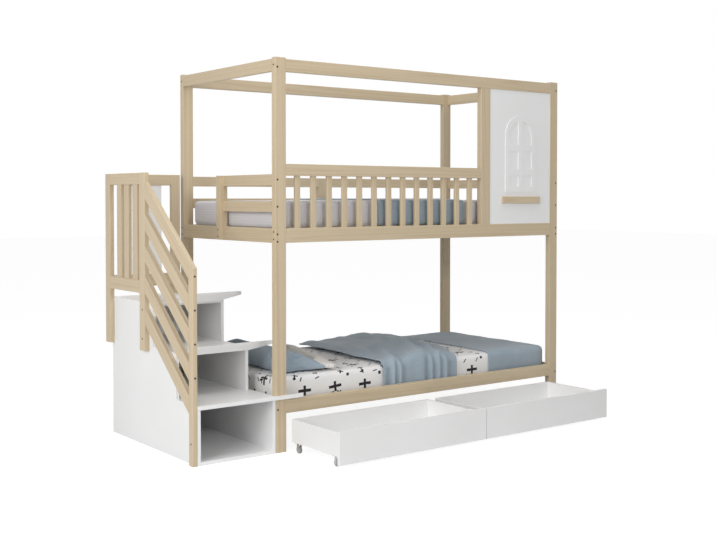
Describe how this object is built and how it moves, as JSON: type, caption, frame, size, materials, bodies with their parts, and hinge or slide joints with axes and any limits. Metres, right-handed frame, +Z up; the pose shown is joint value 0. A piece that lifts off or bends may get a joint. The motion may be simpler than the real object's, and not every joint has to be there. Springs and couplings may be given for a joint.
{
  "type": "bunk bed",
  "caption": "House-frame bunk bed with a canopy frame, slatted guard, window panel, storage staircase with handrail, and rolling under-bed drawers pulled out.",
  "frame": {"origin": "on the floor below the middle of the whole outline, with the drawers pulled out as in the picture", "axes": "+X along the bed from the staircase end to the window end, +Y from front to back, +Z up"},
  "size_m": [2.555, 1.494, 2.025],
  "materials": {
    "timber": "natural pine, satin clear lacquer",
    "slat_wood": "planed softwood, untreated",
    "white_board": "white satin lacquered board",
    "bolt_steel": "dark burnished steel bolt",
    "fork_steel": "zinc plated sheet steel",
    "wheel_plastic": "grey moulded plastic",
    "mattress_fabric": "light grey knitted mattress cover",
    "sheet_fabric": "white cotton with black crosses",
    "blue_fabric": "washed blue grey cotton"
  },
  "bodies": {
    "frame": {"back_guard_post": "timber", "back_guard_rails": "timber", "duvet": "blue_fabric", "entry_post": "timber", "entry_rails": "timber", "foot_blanket": "blue_fabric", "frame_bolts": "bolt_steel", "front_posts": "timber", "guard_balusters": "timber", "guard_cap": "timber", "lower_end_rails": "timber", "lower_side_rails": "timber", "lower_slats": "slat_wood", "mattress_lower": "sheet_fabric", "mattress_upper": "mattress_fabric", "pillows": "blue_fabric", "platform_posts": "timber", "platform_rails": "timber", "platform_slats": "timber", "rear_guard_boards": "white_board", "rear_guard_rails": "timber", "rear_posts": "timber", "right_guard_rails": "timber", "slanted_rails": "timber", "slat_cleats": "slat_wood", "stair_back": "white_board", "stair_bolts": "bolt_steel", "stair_bottom_board": "white_board", "stair_front_post": "timber", "stair_nosings": "white_board", "stair_platform": "white_board", "stair_side_left": "white_board", "stair_side_right": "white_board", "stair_treads": "white_board", "top_end_rails": "timber", "top_side_rails": "timber", "upper_blanket": "blue_fabric", "upper_end_rails": "timber", "upper_side_rails": "timber", "upper_slats": "slat_wood", "window_panel": "white_board", "window_post": "timber", "window_sill": "timber"},
    "left_drawer": {"left_drawer_front": "white_board", "left_drawer_walls": "white_board", "left_drawer_bottom": "white_board", "left_castor_forks": "fork_steel"},
    "right_drawer": {"right_drawer_front": "white_board", "right_drawer_walls": "white_board", "right_drawer_bottom": "white_board", "right_castor_forks": "fork_steel"},
    "left_wheel_back_left": {"left_wheel_back_left": "wheel_plastic"},
    "left_wheel_back_right": {"left_wheel_back_right": "wheel_plastic"},
    "left_wheel_front_left": {"left_wheel_front_left": "wheel_plastic"},
    "left_wheel_front_right": {"left_wheel_front_right": "wheel_plastic"},
    "right_wheel_back_left": {"right_wheel_back_left": "wheel_plastic"},
    "right_wheel_back_right": {"right_wheel_back_right": "wheel_plastic"},
    "right_wheel_front_left": {"right_wheel_front_left": "wheel_plastic"},
    "right_wheel_front_right": {"right_wheel_front_right": "wheel_plastic"}
  },
  "joints": [
    {"name": "left_drawer_roll", "type": "slide", "parent": "frame", "child": "left_drawer", "axis": [0, -1, 0], "range_m": [-0.462, 0]},
    {"name": "right_drawer_roll", "type": "slide", "parent": "frame", "child": "right_drawer", "axis": [0, -1, 0], "range_m": [-0.462, 0]},
    {"name": "left_wheel_front_left_spin", "type": "hinge", "parent": "left_drawer", "child": "left_wheel_front_left", "pos_m": [-0.7055, -0.686, 0.018], "axis": [1, 0, 0], "continuous": true},
    {"name": "left_wheel_front_right_spin", "type": "hinge", "parent": "left_drawer", "child": "left_wheel_front_right", "pos_m": [0.1785, -0.686, 0.018], "axis": [1, 0, 0], "continuous": true},
    {"name": "left_wheel_back_left_spin", "type": "hinge", "parent": "left_drawer", "child": "left_wheel_back_left", "pos_m": [-0.7055, -0.355, 0.018], "axis": [1, 0, 0], "continuous": true},
    {"name": "left_wheel_back_right_spin", "type": "hinge", "parent": "left_drawer", "child": "left_wheel_back_right", "pos_m": [0.1785, -0.355, 0.018], "axis": [1, 0, 0], "continuous": true},
    {"name": "right_wheel_front_left_spin", "type": "hinge", "parent": "right_drawer", "child": "right_wheel_front_left", "pos_m": [0.2685, -0.686, 0.018], "axis": [1, 0, 0], "continuous": true},
    {"name": "right_wheel_front_right_spin", "type": "hinge", "parent": "right_drawer", "child": "right_wheel_front_right", "pos_m": [1.1525, -0.686, 0.018], "axis": [1, 0, 0], "continuous": true},
    {"name": "right_wheel_back_left_spin", "type": "hinge", "parent": "right_drawer", "child": "right_wheel_back_left", "pos_m": [0.2685, -0.355, 0.018], "axis": [1, 0, 0], "continuous": true},
    {"name": "right_wheel_back_right_spin", "type": "hinge", "parent": "right_drawer", "child": "right_wheel_back_right", "pos_m": [1.1525, -0.355, 0.018], "axis": [1, 0, 0], "continuous": true}
  ],
  "couplings": [
    {"joint": "left_wheel_front_left_spin", "follows": "left_drawer_roll", "rad_per_m": 55.556},
    {"joint": "left_wheel_front_right_spin", "follows": "left_drawer_roll", "rad_per_m": 55.556},
    {"joint": "left_wheel_back_left_spin", "follows": "left_drawer_roll", "rad_per_m": 55.556},
    {"joint": "left_wheel_back_right_spin", "follows": "left_drawer_roll", "rad_per_m": 55.556},
    {"joint": "right_wheel_front_left_spin", "follows": "right_drawer_roll", "rad_per_m": 55.556},
    {"joint": "right_wheel_front_right_spin", "follows": "right_drawer_roll", "rad_per_m": 55.556},
    {"joint": "right_wheel_back_left_spin", "follows": "right_drawer_roll", "rad_per_m": 55.556},
    {"joint": "right_wheel_back_right_spin", "follows": "right_drawer_roll", "rad_per_m": 55.556}
  ]
}
